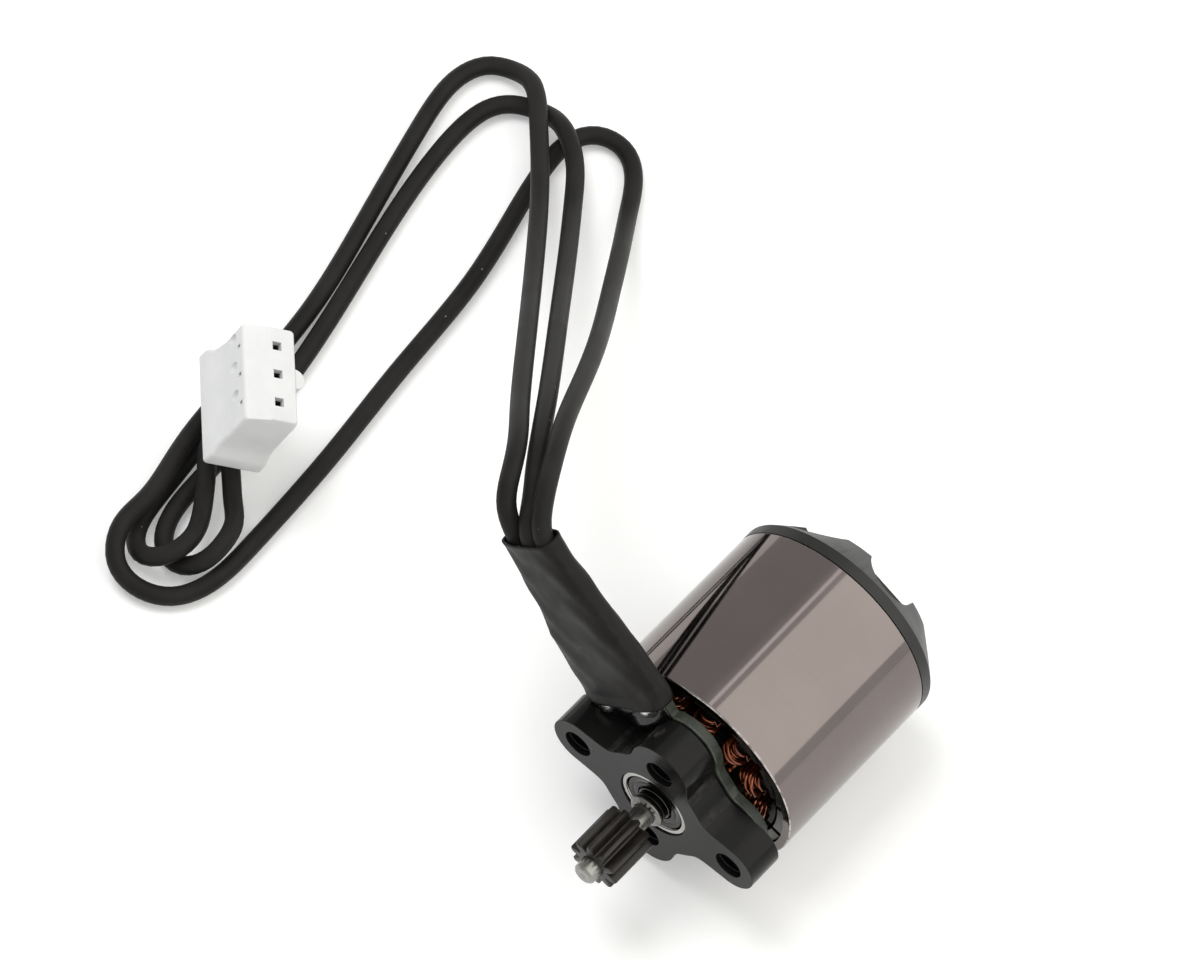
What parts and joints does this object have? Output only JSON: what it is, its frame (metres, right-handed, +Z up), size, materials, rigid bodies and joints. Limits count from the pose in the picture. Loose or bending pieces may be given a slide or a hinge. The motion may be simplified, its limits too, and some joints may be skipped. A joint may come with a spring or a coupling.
{
  "type": "brushless outrunner motor",
  "caption": "Small brushless outrunner motor: turning can with a lobed rear cap on a cross-shaped mounting base, toothed pinion on its shaft, black leads from a shrink sleeve to a white plug.",
  "frame": {"origin": "on the floor under the middle of the motor's length, below the shaft axis; the motor lies on its can", "axes": "+Y along the shaft from the pinion toward the rear cap, +Z up, +X to the right seen from the pinion end"},
  "size_m": [0.0535, 0.0467, 0.0227],
  "materials": {
    "base_black": "satin black anodised, machined edges slightly worn",
    "bearing_steel": "ground bright steel",
    "bearing_cage": "steel balls in a pressed brass-coloured cage",
    "bearing_shield": "dark pressed shield, satin",
    "lamination": "stacked dark steel sheets, matt",
    "board": "grey-green glass-fibre board, matt",
    "shrink_sleeve": "black heat-shrink tube, satin with fine wrinkles",
    "plug_nylon": "white slightly translucent nylon, satin",
    "can_steel": "dark nickel-plated steel, near mirror",
    "bell_black": "charcoal anodised, satin",
    "shaft_steel": "ground bright steel",
    "spring_steel": "plain spring steel",
    "pinion_steel": "oiled dark brown steel, satin",
    "copper_wire": "enamelled copper, orange-brown gloss",
    "magnet": "nickel-plated sintered magnet",
    "solder": "shiny solder",
    "lead_insulation": "black flexible insulation, satin",
    "contact": "tinned contact metal"
  },
  "bodies": {
    "stator": {"mount_base": "base_black", "front_bearing_outer": "bearing_steel", "front_shield": "bearing_shield", "rear_bearing_outer": "bearing_steel", "stator_core": "lamination", "wiring_board": "board", "solder_joint_1": "solder", "solder_joint_2": "solder", "solder_joint_3": "solder", "coil_01": "copper_wire", "coil_02": "copper_wire", "coil_03": "copper_wire", "coil_04": "copper_wire", "coil_05": "copper_wire", "coil_06": "copper_wire", "coil_07": "copper_wire", "coil_08": "copper_wire", "coil_09": "copper_wire", "coil_10": "copper_wire", "coil_11": "copper_wire", "coil_12": "copper_wire", "lead_1": "lead_insulation", "lead_2": "lead_insulation", "lead_3": "lead_insulation", "lead_sleeve": "shrink_sleeve", "plug_housing": "plug_nylon", "crimp_terminal_1": "contact", "crimp_terminal_2": "contact", "crimp_terminal_3": "contact"},
    "rotor": {"rotor_can": "can_steel", "bell_cap": "bell_black", "shaft": "shaft_steel", "front_washer": "spring_steel", "rear_washer": "spring_steel", "retaining_clip": "spring_steel", "pinion": "pinion_steel", "front_bearing_inner": "bearing_steel", "rear_bearing_inner": "bearing_steel", "magnet_01": "magnet", "magnet_02": "magnet", "magnet_03": "magnet", "magnet_04": "magnet", "magnet_05": "magnet", "magnet_06": "magnet", "magnet_07": "magnet", "magnet_08": "magnet", "magnet_09": "magnet", "magnet_10": "magnet", "magnet_11": "magnet", "magnet_12": "magnet", "magnet_13": "magnet", "magnet_14": "magnet"},
    "front_cage": {"front_ball_set": "bearing_cage"},
    "rear_cage": {"rear_ball_set": "bearing_cage"}
  },
  "joints": [
    {"name": "rotor_spin", "type": "hinge", "parent": "stator", "child": "rotor", "pos_m": [0, 0, 0.00749], "axis": [0, 1, 0], "continuous": true},
    {"name": "front_cage_spin", "type": "hinge", "parent": "stator", "child": "front_cage", "pos_m": [0, 0, 0.00749], "axis": [0, 1, 0], "continuous": true},
    {"name": "rear_cage_spin", "type": "hinge", "parent": "stator", "child": "rear_cage", "pos_m": [0, 0, 0.00749], "axis": [0, 1, 0], "continuous": true}
  ],
  "couplings": [
    {"joint": "front_cage_spin", "follows": "rotor_spin", "ratio": 0.3818},
    {"joint": "rear_cage_spin", "follows": "rotor_spin", "ratio": 0.4036}
  ]
}
